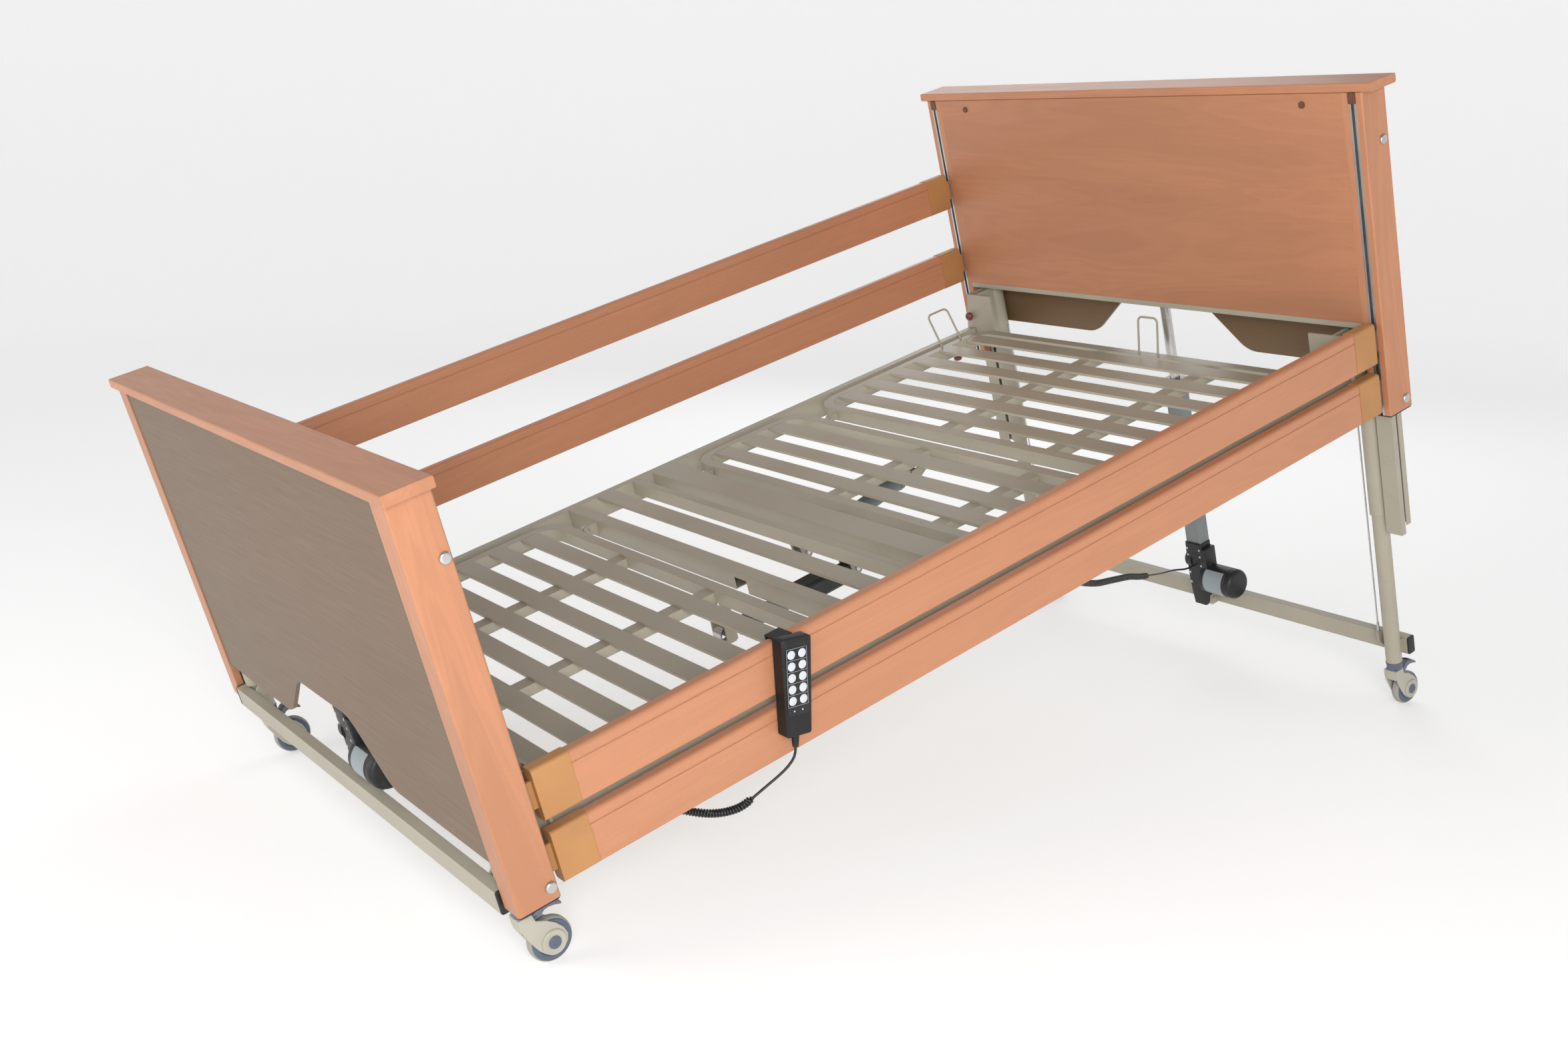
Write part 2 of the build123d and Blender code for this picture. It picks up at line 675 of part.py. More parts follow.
def cord(points, radius, label):
    """A tube of straight runs joined by arcs as large as the runs allow."""
    radii = []
    for before, at, after in zip(points, points[1:], points[2:]):
        first = Vector(*at) - Vector(*before)
        second = Vector(*after) - Vector(*at)
        half_turn = radians(first.get_angle(second)) / 2
        radii.append(0.45 * min(first.length, second.length) / tan(half_turn))
    with BuildPart() as tube:
        with BuildLine() as path:
            FilletPolyline(*points, radius=radii)
        with BuildSketch(Plane(origin=points[0], z_dir=Vector(*points[1]) - Vector(*points[0]))):
            Circle(radius)
        sweep(path=path.wire())
    length = path.wire().length
    ratio = tube.part.volume / (pi * radius**2 * length)
    print(label, "length", round(length, 1), "volume over section times length", round(ratio, 4))
    print("  radii", [round(r, 1) for r in radii])
    finish(tube, label)


handset_join = (622.5, -643.5, 109.0)
cord(
    [
        tuple(cord_start),
        tuple(cord_start + hand_down * 11),
        (650.0, -572.0, 149.5),
        (644.0, -588.5, 137.0),
        (636.5, -608.0, 127.0),
        (629.0, -627.0, 117.5),
        handset_join,
    ],
    lead_radius,
    "handset_cord",
)
cord(
    [
        handset_join,
        (616.0, -660.0, 100.5),
        (602.0, -675.0, 94.0),
        (586.0, -691.0, 91.5),
        (570.0, -707.0, 93.5),
        (554.0, -724.0, 100.5),
        (541.0, -743.0, 112.0),
        (533.5, -765.0, 128.0),
        (532.0, -789.0, 146.0),
        (536.0, -812.0, 165.0),
        (545.0, -832.0, 184.0),
        tuple(grommet),
    ],
    curl_radius,
    "handset_coil",
)
motor_join = (166.0, 728.0, -208.0)
cord(
    [
        (25.0, leg_y - 22.3, -344.0),
        (25.0, 1001.0, -344.0),
        (40.0, 962.0, -325.0),
        (66.0, 917.0, -300.0),
        (100.0, 866.0, -272.0),
        (128.0, 815.0, -249.0),
        (150.0, 770.0, -227.0),
        motor_join,
    ],
    motor_lead_radius,
    "foot_motor_cord",
)
cord(
    [
        motor_join,
        (182.0, 686.0, -189.0),
        (205.0, 637.0, -160.0),
        (228.0, 582.0, -136.0),
        (250.0, 526.0, -112.0),
        (275.0, 480.0, -90.0),
        (300.0, 438.0, -66.0),
        (325.0, 390.0, -37.0),
        (352.0, 338.0, -2.0),
        (383.0, 284.0, 36.0),
        (413.0, 226.0, 73.0),
        (440.0, 164.0, 104.0),
        (460.0, 101.0, 131.0),
        (470.0, 38.0, 146.0),
        (470.0, -20.0, 146.0),
    ],
    curl_radius,
    "foot_motor_coil",
)
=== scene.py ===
import json
from math import atan2, cos, pi, radians, sin

import bmesh
import bpy
from mathutils import Matrix, Vector


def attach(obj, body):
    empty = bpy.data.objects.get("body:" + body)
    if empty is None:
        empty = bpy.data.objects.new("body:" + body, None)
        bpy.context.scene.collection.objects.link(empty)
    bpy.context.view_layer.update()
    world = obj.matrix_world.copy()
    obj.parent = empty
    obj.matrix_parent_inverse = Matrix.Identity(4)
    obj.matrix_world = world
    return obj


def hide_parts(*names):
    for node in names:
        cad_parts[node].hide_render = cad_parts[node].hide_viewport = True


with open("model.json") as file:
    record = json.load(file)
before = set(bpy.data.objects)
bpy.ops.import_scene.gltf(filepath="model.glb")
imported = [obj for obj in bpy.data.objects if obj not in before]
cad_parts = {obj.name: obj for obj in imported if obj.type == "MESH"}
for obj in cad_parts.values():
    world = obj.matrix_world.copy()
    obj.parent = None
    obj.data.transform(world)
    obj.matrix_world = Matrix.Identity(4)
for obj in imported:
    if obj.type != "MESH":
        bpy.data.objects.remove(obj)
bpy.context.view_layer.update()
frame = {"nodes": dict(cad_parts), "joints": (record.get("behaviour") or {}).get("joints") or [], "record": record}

# The bed stands tipped. Its pieces are placed here in its own level frame, in
# millimetres: +X to the patient's right, +Y to the foot end and +Z up from the floor
# with both lifts down. bed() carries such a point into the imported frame, in metres.
MM = 0.001
record = frame["record"]
joints = {joint["name"]: joint for joint in frame["joints"]}
UP = -Vector(joints["head_lift_stage_1"]["axis"]).normalized()
TILT = atan2(-UP.y, UP.z)
TIP = Matrix.Rotation(TILT, 3, "X")
SEAT = Vector((0, -24, 237))
seat_mount = next(mount for mount in record["mounts"] if mount["name"] == "mattress_rest")
SHIFT = Vector(seat_mount["pos_m"]) - TIP @ SEAT * MM

LEG_X = 565
LEG_Y = 1048.5
LIFT_X = 25
LIFT_TRAVEL = 590
ENDS = (("head", -1, 0), ("foot", 1, LIFT_TRAVEL))
HANDS = (("right", 1), ("left", -1))


def bed(x, y, z):
    """A level point in millimetres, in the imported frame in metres."""
    return TIP @ Vector((x, y, z)) * MM + SHIFT


# ------------------------------------------------------------------- camera

CAMERA_AT = (2757.1, -1773.7, 1508.4)
CAMERA_RIGHT = Vector((0.58048, 0.78514, -0.21588))
CAMERA_DOWN = Vector((0.18281, -0.38401, -0.90505))
CAMERA_AHEAD = Vector((-0.79349, 0.48590, -0.36644))
SENSOR_WIDTH = 36
LENS = 39.2


def make_camera():
    camera = bpy.data.objects.new("camera", bpy.data.cameras.new("camera"))
    bpy.context.scene.collection.objects.link(camera)
    axes = [TIP @ axis for axis in (CAMERA_RIGHT, -CAMERA_DOWN, -CAMERA_AHEAD)]
    turn = Matrix(axes).transposed().to_4x4()
    camera.matrix_world = Matrix.Translation(bed(*CAMERA_AT)) @ turn
    camera.data.sensor_width = SENSOR_WIDTH
    camera.data.lens = LENS
    camera.data.clip_start = 0.05
    camera.data.clip_end = 200
    bpy.context.scene.camera = camera


make_camera()

# -------------------------------------------------------------------- cords

WIRE = 4.6
COIL_OUTSIDE = 15
TURN_POINTS = 14
HANDSET_PITCH = 5.0
MOTOR_PITCH = 7.0
GROMMET = (557, -846, 199)
HANDSET_TOP = Vector((652, -520, 354))
HANDSET_DOWN = Vector((0, -36, -160)).normalized()
HANDSET_LENGTH = 164
RELIEF_LENGTH = 22
HANDSET_EXIT = HANDSET_TOP + HANDSET_DOWN * (HANDSET_LENGTH + RELIEF_LENGTH)
HANDSET_JOIN = (622.5, -643.5, 109)
MOTOR_JOIN = (166, 728, -208)

handset_lead = [
    HANDSET_EXIT,
    HANDSET_EXIT + HANDSET_DOWN * 11,
    (650, -572, 149.5),
    (644, -588.5, 137),
    (636.5, -608, 127),
    (629, -627, 117.5),
    HANDSET_JOIN,
]
handset_curl = [
    HANDSET_JOIN,
    (616, -660, 100.5),
    (602, -675, 94),
    (586, -691, 91.5),
    (570, -707, 93.5),
    (554, -724, 100.5),
    (541, -743, 112),
    (533.5, -765, 128),
    (532, -789, 146),
    (536, -812, 165),
    (545, -832, 184),
    GROMMET,
]
motor_lead = [
    (25, 1026.2, -344),
    (25, 1001, -344),
    (40, 962, -325),
    (66, 917, -300),
    (100, 866, -272),
    (128, 815, -249),
    (150, 770, -227),
    MOTOR_JOIN,
]
motor_curl = [
    MOTOR_JOIN,
    (182, 686, -189),
    (205, 637, -160),
    (228, 582, -136),
    (250, 526, -112),
    (275, 480, -90),
    (300, 438, -66),
    (325, 390, -37),
    (352, 338, -2),
    (383, 284, 36),
    (413, 226, 73),
    (440, 164, 104),
    (460, 101, 131),
    (470, 38, 146),
    (470, -20, 146),
]


def nurbs(name, points, radius=0.0):
    """A curve object of one open NURBS spline, each point with the tube's radius."""
    curve = bpy.data.curves.new(name, "CURVE")
    curve.dimensions = "3D"
    spline = curve.splines.new("NURBS")
    spline.points.add(len(points) - 1)
    for at, point in zip(spline.points, points):
        at.co = (*point, 1)
        at.radius = radius
    spline.order_u = 3
    spline.use_endpoint_u = True
    thing = bpy.data.objects.new(name, curve)
    bpy.context.scene.collection.objects.link(thing)
    return thing


def line_of(points):
    """Points along the smooth line that a route's NURBS spline makes."""
    bare = nurbs("bare", points)
    bare.data.splines[0].resolution_u = 24
    mesh = bpy.data.meshes.new_from_object(bare)
    line = [vertex.co.copy() for vertex in mesh.vertices]
    bpy.data.meshes.remove(mesh)
    bpy.data.curves.remove(bare.data)
    return line


def helix(line, radius, pitch, ease=1.5):
    """Points of a helix wound round a line, closing in at both ends."""
    steps = [(b - a).length for a, b in zip(line, line[1:])]
    length = sum(steps)
    turns = round(length / pitch)
    count = turns * TURN_POINTS
    side = (line[1] - line[0]).normalized().orthogonal().normalized()
    points, at, walked = [], 0, 0.0
    for k in range(count + 1):
        along = length * k / count
        while at < len(steps) - 1 and walked + steps[at] < along:
            walked += steps[at]
            at += 1
        ahead = (line[at + 1] - line[at]).normalized()
        centre = line[at] + ahead * (along - walked)
        side = (side - ahead * side.dot(ahead)).normalized()
        across = ahead.cross(side)
        angle = 2 * pi * k / TURN_POINTS
        done = k / TURN_POINTS
        reach = radius * min(1, done / ease, (turns - done) / ease)
        points.append(centre + side * (reach * cos(angle)) + across * (reach * sin(angle)))
    return points


def make_cord(name, lead, curl, pitch, nodes):
    """A lead that turns into a curly cord, as one spline."""
    start = [bed(*point) for point in lead[:-1]]
    winding = helix(line_of([bed(*p) for p in curl]), (COIL_OUTSIDE - WIRE) / 2 * MM, pitch * MM)
    cord = nurbs(name, start + winding, WIRE / 2 * MM)
    cord.data.bevel_depth = 1.0
    cord.data.bevel_resolution = 2
    cord.data.use_fill_caps = True
    cord.data.splines[0].resolution_u = 2
    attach(cord, "root")
    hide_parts(*nodes)
    return cord


handset_cord = make_cord(
    "handset_curly_cord",
    handset_lead,
    handset_curl,
    HANDSET_PITCH,
    ("handset_cord", "handset_coil"),
)
motor_cord = make_cord(
    "foot_motor_curly_cord",
    motor_lead,
    motor_curl,
    MOTOR_PITCH,
    ("foot_motor_cord", "foot_motor_coil"),
)

# ---------------------------------------------------------------- materials


class Finish:
    """A material under construction: its nodes, its shader and its coordinates."""

    def __init__(self, name, colour, roughness, metallic=0.0, coat=0.0):
        self.material = bpy.data.materials.new(name)
        self.material.use_nodes = True
        self.tree = self.material.node_tree
        self.shader = self.tree.nodes["Principled BSDF"]
        self.set(self.shader, "Base Color", (*colour, 1))
        self.set(self.shader, "Roughness", roughness)
        self.set(self.shader, "Metallic", metallic)
        self.set(self.shader, "Coat Weight", coat)
        self.set(self.shader, "Coat Roughness", 0.25)
        place = self.add("ShaderNodeTexCoord").outputs["Object"]
        level = self.add("ShaderNodeMapping", Vector=place)
        level.inputs["Rotation"].default_value = (-TILT, 0, 0)
        self.place = level.outputs["Vector"]

    def set(self, node, socket, value):
        if isinstance(value, bpy.types.NodeSocket):
            self.tree.links.new(value, node.inputs[socket])
        else:
            node.inputs[socket].default_value = value

    def add(self, kind, **sockets):
        node = self.tree.nodes.new(kind)
        for socket, value in sockets.items():
            self.set(node, socket, value)
        return node

    def noise(self, scale, detail=3.0, distortion=0.0):
        """Noise with its own scale, per metre, along each level axis."""
        stretched = self.add("ShaderNodeMapping", Vector=self.place)
        stretched.inputs["Scale"].default_value = scale
        noise = self.add("ShaderNodeTexNoise", Vector=stretched.outputs["Vector"])
        self.set(noise, "Scale", 1.0)
        self.set(noise, "Detail", detail)
        self.set(noise, "Distortion", distortion)
        return noise.outputs["Fac"]

    def math(self, operation, first, second=0.0):
        node = self.add("ShaderNodeMath")
        node.operation = operation
        self.set(node, 0, first)
        self.set(node, 1, second)
        return node.outputs[0]

    def ramp(self, factor, *stops):
        """A colour ramp of (place, colour) stops."""
        node = self.add("ShaderNodeValToRGB", Fac=factor)
        elements = node.color_ramp.elements
        for index, (place, colour) in enumerate(stops):
            element = elements[index] if index < 2 else elements.new(place)
            element.position = place
            element.color = (*colour, 1)
        return node.outputs["Color"]

    def spread(self, factor, low, high):
        """A factor between 0 and 1 mapped to low and high."""
        node = self.add("ShaderNodeMapRange", Value=factor)
        self.set(node, "To Min", low)
        self.set(node, "To Max", high)
        return node.outputs["Result"]

    def mix(self, factor, first, second, blend="MIX"):
        node = self.add("ShaderNodeMix")
        node.data_type = "RGBA"
        node.blend_type = blend
        self.set(node, 0, factor)
        self.set(node, 6, first if isinstance(first, bpy.types.NodeSocket) else (*first, 1))
        self.set(node, 7, second if isinstance(second, bpy.types.NodeSocket) else (*second, 1))
        return node.outputs[2]

    def relief(self, height, depth, strength=1.0, soften=0.0):
        """Bump of a depth in metres, over edges softened by a radius in metres."""
        bump = self.add("ShaderNodeBump", Height=height)
        self.set(bump, "Strength", strength)
        self.set(bump, "Distance", depth)
        if soften:
            bevel = self.add("ShaderNodeBevel", Radius=soften)
            bevel.samples = 4
            self.set(bump, "Normal", bevel.outputs["Normal"])
        self.set(self.shader, "Normal", bump.outputs["Normal"])


def shade(colour, factor):
    return tuple(min(1.0, part * factor) for part in colour)


def along_axis(axis, lengthways, across):
    """Scales that stretch a texture along one level axis."""
    return tuple(lengthways if k == axis else across for k in range(3))


def wood(name, axis, colour, figure=1.0):
    """Lacquered beech, its grain along a level axis: rings, pores and flecks."""
    finish = Finish(name, colour, 0.42, coat=0.08)
    drift = finish.noise(along_axis(axis, 0.9, 7.0), 4, 0.5)
    rings = finish.math("SINE", finish.math("MULTIPLY", drift, 95.0))
    rings = finish.spread(finish.math("MULTIPLY_ADD", rings, 0.5), 0.0, 1.0)
    streaks = finish.noise(along_axis(axis, 7, 260), 3)
    pores = finish.noise(along_axis(axis, 160, 1500), 2)
    tone = finish.ramp(
        drift,
        (0.28, shade(colour, 1 - 0.16 * figure)),
        (0.75, shade(colour, 1 + 0.10 * figure)),
        (0.5, colour),
    )
    ringed = finish.mix(finish.spread(rings, 0.0, 0.22 * figure), tone, shade(colour, 0.72))
    streaked = finish.mix(finish.spread(streaks, 0.0, 0.42), ringed, shade(colour, 0.74))
    fleck = finish.ramp(pores, (0.62, (0, 0, 0)), (0.70, (1, 1, 1)))
    flecked = finish.mix(finish.math("MULTIPLY", fleck, 0.45), streaked, shade(colour, 0.5))
    finish.set(finish.shader, "Base Color", flecked)
    finish.set(finish.shader, "Roughness", finish.spread(streaks, 0.38, 0.54))
    finish.relief(finish.math("ADD", streaks, pores), 0.00006, 0.6, soften=0.0012)
    return finish.material


def paint(name, colour):
    """Powder coat: orange peel, a faint unevenness and rubbed patches."""
    finish = Finish(name, colour, 0.42)
    cloud = finish.noise((5, 5, 5), 4)
    peel = finish.noise((420, 420, 420), 2)
    scuff = finish.noise((18, 60, 60), 6, 1.2)
    tone = finish.ramp(cloud, (0.3, shade(colour, 0.93)), (0.7, shade(colour, 1.04)))
    rubbed = finish.ramp(scuff, (0.60, (0, 0, 0)), (0.74, (1, 1, 1)))
    worn = finish.mix(finish.math("MULTIPLY", rubbed, 0.28), tone, shade(colour, 0.74))
    finish.set(finish.shader, "Base Color", worn)
    finish.set(finish.shader, "Roughness", finish.spread(cloud, 0.34, 0.5))
    finish.relief(peel, 0.00012, 0.35, soften=0.0012)
    return finish.material


def moulded(name, colour, roughness, grain=900, depth=0.00008, coat=0.0, fade=0.10):
    """Moulded plastic or rubber: a fine spark texture over slow changes of tone."""
    finish = Finish(name, colour, roughness, coat=coat)
    cloud = finish.noise((9, 9, 9), 3)
    texture = finish.noise((grain, grain, grain), 2)
    dust = finish.noise((55, 55, 55), 5, 0.8)
    tone = finish.ramp(cloud, (0.3, shade(colour, 1 - fade)), (0.7, shade(colour, 1 + fade)))
    dusty = finish.ramp(dust, (0.58, (0, 0, 0)), (0.78, (1, 1, 1)))
    pale = tuple(part * 0.8 + 0.06 for part in colour)
    coated = finish.mix(finish.math("MULTIPLY", dusty, 0.3), tone, pale)
    finish.set(finish.shader, "Base Color", coated)
    finish.set(finish.shader, "Roughness", finish.spread(dust, roughness - 0.07, roughness + 0.1))
    finish.relief(texture, depth, 0.4, soften=0.001)
    return finish.material


def metal(name, colour, roughness, axis, draw=900):
    """Metal with fine lines drawn along one level axis."""
    finish = Finish(name, colour, roughness, metallic=1.0)
    lines = finish.noise(along_axis(axis, 6, draw), 3)
    stain = finish.noise((14, 14, 14), 4, 0.6)
    tone = finish.ramp(stain, (0.3, shade(colour, 0.86)), (0.72, shade(colour, 1.05)))
    drawn = finish.mix(finish.spread(lines, 0, 0.3), tone, shade(colour, 0.7))
    finish.set(finish.shader, "Base Color", drawn)
    finish.set(finish.shader, "Roughness", finish.spread(lines, roughness - 0.08, roughness + 0.12))
    finish.relief(lines, 0.00005, 0.5, soften=0.0008)
    return finish.material


def actuator_finish(name, pin, front, black, grey, gearbox_end):
    """Black gearbox and grey tube on one moulding, told apart by their place along it."""
    finish = Finish(name, black, 0.45)
    along = Vector((0, front[0] - pin[0], front[1] - pin[1])).normalized()
    start = Matrix.Rotation(-TILT, 3, "X") @ bed(0, *pin)
    offset = finish.add("ShaderNodeVectorMath")
    offset.operation = "SUBTRACT"
    finish.set(offset, 0, finish.place)
    offset.inputs[1].default_value = start
    reach = finish.add("ShaderNodeVectorMath")
    reach.operation = "DOT_PRODUCT"
    finish.set(reach, 0, offset.outputs[0])
    reach.inputs[1].default_value = along
    beyond = finish.math("GREATER_THAN", reach.outputs["Value"], gearbox_end * MM)
    texture = finish.noise((700, 700, 700), 2)
    smudge = finish.noise((24, 24, 24), 5, 0.7)
    dark = finish.ramp(smudge, (0.35, shade(black, 0.8)), (0.75, shade(black, 1.9)))
    light = finish.ramp(smudge, (0.35, shade(grey, 0.85)), (0.75, shade(grey, 1.1)))
    finish.set(finish.shader, "Base Color", finish.mix(beyond, dark, light))
    finish.set(finish.shader, "Roughness", finish.spread(smudge, 0.34, 0.52))
    finish.relief(texture, 0.00008, 0.35, soften=0.001)
    return finish.material


BEECH = (0.52, 0.225, 0.115)
# The outer sheets' colour: its browner tone is their own, but much of its darkness is painted shade for their
# side, which faces away from the light.
SHADED_LAMINATE = (0.145, 0.082, 0.036)
PAINT = (0.38, 0.345, 0.27)
BLACK = (0.014, 0.014, 0.015)
GREY = (0.17, 0.19, 0.20)
ACROSS, LENGTHWAYS, UPRIGHT = 0, 1, 2

# The section actuators' rear pin and front pins as (y, z), and how far the black gearbox
# reaches along them from the rear pin.
ACTUATOR_PIN = (-24, 138)
GEARBOX_END = 150

finishes = {
    "beech_across": wood("beech_across", ACROSS, BEECH),
    "beech_lengthways": wood("beech_lengthways", LENGTHWAYS, BEECH, 0.7),
    "beech_upright": wood("beech_upright", UPRIGHT, BEECH, 1.3),
    # Outer sheets: browner laminate, darkened with painted shade.
    "laminate_painted_shade": wood("laminate_painted_shade", ACROSS, SHADED_LAMINATE, 0.6),
    "panel": wood("panel", ACROSS, shade(BEECH, 0.92), 1.1),
    "paint": paint("beige_paint", PAINT),
    "ochre": moulded("ochre_plastic", (0.42, 0.20, 0.07), 0.5, grain=700),
    "brown": moulded("brown_plastic", (0.13, 0.05, 0.025), 0.4),
    "red_brown": moulded("red_brown_plastic", (0.17, 0.035, 0.02), 0.25, coat=0.3),
    "black": moulded("black_plastic", (0.009, 0.009, 0.010), 0.45, fade=0.3),
    "rubber": moulded("black_rubber", (0.016, 0.016, 0.017), 0.55, fade=0.3),
    "handset": moulded("handset_plastic", (0.004, 0.004, 0.0045), 0.55, grain=1400, fade=0.25),
    "film": moulded("keypad_film", (0.008, 0.008, 0.009), 0.18, grain=2500, depth=0.00002),
    "key": moulded("white_key", (0.55, 0.57, 0.60), 0.4, grain=1800, fade=0.02),
    "cord": moulded("cord_sheath", (0.014, 0.014, 0.015), 0.33, grain=1200, fade=0.2),
    "cream": moulded("castor_plastic", (0.40, 0.38, 0.31), 0.4, grain=800, fade=0.05),
    "tread": moulded("castor_tread", (0.30, 0.285, 0.25), 0.6, grain=500, depth=0.0002),
    "band": moulded("castor_band", (0.085, 0.105, 0.15), 0.45, grain=700),
    "pedal": moulded("pedal_plastic", (0.125, 0.14, 0.165), 0.42, grain=800),
    "label": moulded("blank_label", (0.26, 0.30, 0.32), 0.35, grain=1500, depth=0.00003, fade=0.05),
    "channel": metal("aluminium_channel", (0.62, 0.62, 0.61), 0.36, UPRIGHT, 1100),
    "extrusion": metal("grey_extrusion", (0.27, 0.29, 0.29), 0.42, UPRIGHT, 800),
    "steel": metal("bright_steel", (0.62, 0.61, 0.60), 0.24, ACROSS, 1300),
    "leg_actuator": actuator_finish(
        "leg_actuator_body", ACTUATOR_PIN, (290, 188), BLACK, GREY, GEARBOX_END
    ),
    "back_actuator": actuator_finish(
        "back_actuator_body", ACTUATOR_PIN, (-344, 134), BLACK, GREY, GEARBOX_END
    ),
}

by_slot = {
    "ochre_plastic": "ochre",
    "brown_plastic": "brown",
    "aluminium_channel": "channel",
    "grey_extrusion": "extrusion",
    "bright_steel": "steel",
    "beige_paint": "paint",
    "red_brown_plastic": "red_brown",
    "black_plastic": "black",
    "handset_plastic": "handset",
    "keypad_film": "film",
    "cord_sheath": "cord",
    "castor_plastic": "cream",
    "castor_wheel": "tread",
    "pedal_plastic": "pedal",
}
by_node = {
    "top_boards": "beech_across",
    "posts": "beech_upright",
    "outer_sheets": "laminate_painted_shade",
    "inner_sheets": "panel",
    "leg_actuator_body": "leg_actuator",
    "back_actuator_body": "back_actuator",
}
slot_of = {part["node"]: part["material_slot"] for part in record["subparts"]}


def finish_cad_nodes():
    """Gives every carried-over CAD node its detailed material."""
    for name, thing in frame["nodes"].items():
        key = by_node.get(name) or by_slot.get(slot_of[name], "beech_lengthways")
        for place in thing.material_slots:
            place.material = finishes[key]
        if not thing.material_slots:
            thing.data.materials.append(finishes[key])


finish_cad_nodes()
for cord in (handset_cord, motor_cord):
    cord.data.materials.append(finishes["cord"])

# ------------------------------------------------------------- mesh helpers


def piece(name, mesh_data, body, materials, replaces=(), sharp=35):
    """Links a finished bmesh, given in level millimetres, as a piece on a body."""
    mesh = bpy.data.meshes.new(name)
    bmesh.ops.recalc_face_normals(mesh_data, faces=mesh_data.faces)
    for vertex in mesh_data.verts:
        vertex.co = bed(*vertex.co)
    mesh_data.to_mesh(mesh)
    mesh_data.free()
    for face in mesh.polygons:
        face.use_smooth = True
    mesh.set_sharp_from_angle(angle=radians(sharp))
    for key in materials:
        mesh.materials.append(finishes[key])
    thing = bpy.data.objects.new(name, mesh)
    bpy.context.scene.collection.objects.link(thing)
    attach(thing, body)
    if replaces:
        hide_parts(*replaces)
    return thing


def turned(mesh, origin, axis, profile, segments=40, material=0):
    """Adds a solid turned about an axis from (along, radius) points; radius 0 closes it."""
    axis = Vector(axis).normalized()
    side = axis.orthogonal().normalized()
    across = axis.cross(side)
    rings = []
    for along, radius in profile:
        centre = Vector(origin) + axis * along
        if radius == 0:
            rings.append([mesh.verts.new(centre)])
            continue
        turn = [2 * pi * k / segments for k in range(segments)]
        rings.append(
            [mesh.verts.new(centre + (side * cos(a) + across * sin(a)) * radius) for a in turn]
        )
    for lower, upper in zip(rings, rings[1:]):
        for k in range(segments):
            following = (k + 1) % segments
            corners = [
                lower[k % len(lower)],
                lower[following % len(lower)],
                upper[following % len(upper)],
                upper[k % len(upper)],
            ]
            face = mesh.faces.new(list(dict.fromkeys(corners)))
            face.material_index = material


def slab(mesh, origin, right, up, outline, depth, edge=1.0, material=0):
    """Adds a plate from an outline of (right, up) points, its rims rounded off."""
    right, up = Vector(right).normalized(), Vector(up).normalized()
    out = right.cross(up)
    origin = Vector(origin)
    before = set(mesh.faces)
    back = [mesh.verts.new(origin + right * a + up * b) for a, b in outline]
    base = mesh.faces.new(back)
    grown = bmesh.ops.extrude_face_region(mesh, geom=[base])["geom"]
    front = [item for item in grown if isinstance(item, bmesh.types.BMVert)]
    bmesh.ops.translate(mesh, verts=front, vec=out * depth)
    made = [face for face in mesh.faces if face not in before]
    bmesh.ops.recalc_face_normals(mesh, faces=made)
    edges = dict.fromkeys(
        line
        for face in made
        for line in face.edges
        if len(line.link_faces) == 2 and line.calc_face_angle(0) > radians(30)
    )
    if edge:
        bmesh.ops.bevel(
            mesh, geom=list(edges), offset=edge, segments=3, profile=0.5, affect="EDGES"
        )
    for face in mesh.faces:
        if face not in before:
            face.material_index = material


def box_outline(width, height):
    return [
        (-width / 2, -height / 2),
        (width / 2, -height / 2),
        (width / 2, height / 2),
        (-width / 2, height / 2),
    ]


def arc(radius, start, end, count):
    """Points of an arc, as (right, up), between two angles in degrees."""
    angles = [radians(start + (end - start) * k / (count - 1)) for k in range(count)]
    return [(radius * cos(a), radius * sin(a)) for a in angles]


def rounded_outline(width, height, radius, count=6):
    """A rectangle with round corners."""
    outline = []
    for sign_x, sign_y, start in ((1, 1, 0), (-1, 1, 90), (-1, -1, 180), (1, -1, 270)):
        centre = (sign_x * (width / 2 - radius), sign_y * (height / 2 - radius))
        corner = arc(radius, start, start + 90, count)
        outline += [(centre[0] + a, centre[1] + b) for a, b in corner]
    return outline


X, Y, Z = Vector((1, 0, 0)), Vector((0, 1, 0)), Vector((0, 0, 1))

# ------------------------------------------------------------------ castors

WHEEL = 37.5
TRAIL = 28


def castor_wheel(label, hand, end, side, drop):
    """A round-shouldered tread between two raised bands, on a hub with a recess."""
    axle = (side * LEG_X, end * LEG_Y + TRAIL, WHEEL - drop)
    mesh = bmesh.new()
    tread = [(-8, 30), (-8, 34.5), (-6.5, 36.4), (-4, 37.3), (0, WHEEL), (4, 37.3), (6.5, 36.4)]
    turned(mesh, axle, X, tread + [(8, 34.5), (8, 30)], 64, 0)
    for way in (-1, 1):
        band = [(7.2, 20), (7.2, 34), (8.4, 34.6), (10.2, 33.4), (10.9, 31), (10.9, 26), (9.4, 24)]
        turned(mesh, axle, X * way, band + [(9.4, 4.2)], 64, 1)
    turned(mesh, axle, X, [(-9.5, 4.2), (9.5, 4.2)], 32, 1)
    turned(mesh, axle, X, [(-7.4, 30), (7.4, 30)], 64, 1)
    name = f"castor_{label}_{hand}"
    body = f"{name}_roller"
    piece(f"{name}_tyre", mesh, body, ["tread", "band"], [f"{name}_wheel"])


